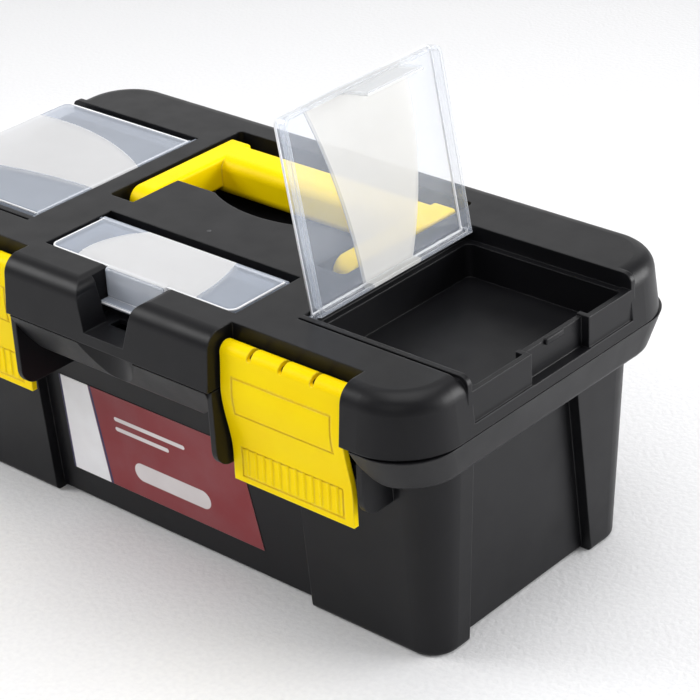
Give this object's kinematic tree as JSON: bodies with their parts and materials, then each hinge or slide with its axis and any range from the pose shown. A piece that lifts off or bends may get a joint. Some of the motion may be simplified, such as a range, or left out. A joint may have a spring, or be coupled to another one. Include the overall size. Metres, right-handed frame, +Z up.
{
  "type": "tool box",
  "caption": "Small portable tool box: drafted tub with a lift-out tray, hinged lid with clear-covered parts compartments, snap latches and a fold-flat carry handle.",
  "frame": {"origin": "middle of the bounding box on the floor, under the feet", "axes": "+X along the box to its right end, +Y to the hinged back, +Z up"},
  "size_m": [0.32, 0.1792, 0.2117],
  "materials": {
    "black_plastic": "satin moulded",
    "yellow_plastic": "semi-gloss moulded",
    "clear_plastic": "clear with frosted middle",
    "steel": "bright drawn wire",
    "label": "printed film"
  },
  "bodies": {
    "base": {"base_tub": "black_plastic", "hinge_pin_left": "steel", "hinge_pin_right": "steel", "front_label": "label"},
    "lid": {"lid_shell": "black_plastic"},
    "latch_left": {"latch_left": "yellow_plastic"},
    "latch_right": {"latch_right": "yellow_plastic"},
    "handle": {"carry_handle": "yellow_plastic"},
    "left_cover": {"left_cover": "clear_plastic"},
    "right_cover": {"right_cover": "clear_plastic"},
    "front_cover": {"front_cover": "clear_plastic"},
    "tray": {"lift_out_tray": "black_plastic"}
  },
  "joints": [
    {"name": "lid_hinge", "type": "hinge", "parent": "base", "child": "lid", "pos_m": [0, 0.08612, 0.1073], "axis": [-1, 0, 0], "range_deg": [0, 100]},
    {"name": "latch_left_pivot", "type": "hinge", "parent": "lid", "child": "latch_left", "pos_m": [-0.09, -0.07838, 0.1225], "axis": [-1, 0, 0], "range_deg": [0, 110]},
    {"name": "latch_right_pivot", "type": "hinge", "parent": "lid", "child": "latch_right", "pos_m": [0.09, -0.07838, 0.1225], "axis": [-1, 0, 0], "range_deg": [0, 110]},
    {"name": "handle_pivot", "type": "hinge", "parent": "lid", "child": "handle", "pos_m": [0, -0.00387, 0.1247], "axis": [1, 0, 0], "range_deg": [0, 90]},
    {"name": "left_cover_hinge", "type": "hinge", "parent": "lid", "child": "left_cover", "pos_m": [-0.07845, 0, 0.1301], "axis": [0, 1, 0], "range_deg": [0, 99.5]},
    {"name": "right_cover_hinge", "type": "hinge", "parent": "lid", "child": "right_cover", "pos_m": [0.07845, 0, 0.1301], "axis": [0, -1, 0], "range_deg": [-99.5, 0]},
    {"name": "front_cover_hinge", "type": "hinge", "parent": "lid", "child": "front_cover", "pos_m": [0, -0.03608, 0.1301], "axis": [-1, 0, 0], "range_deg": [0, 120]},
    {"name": "tray_lift", "type": "slide", "parent": "base", "child": "tray", "axis": [0, 0, 1], "range_m": [0, 0.003]}
  ]
}
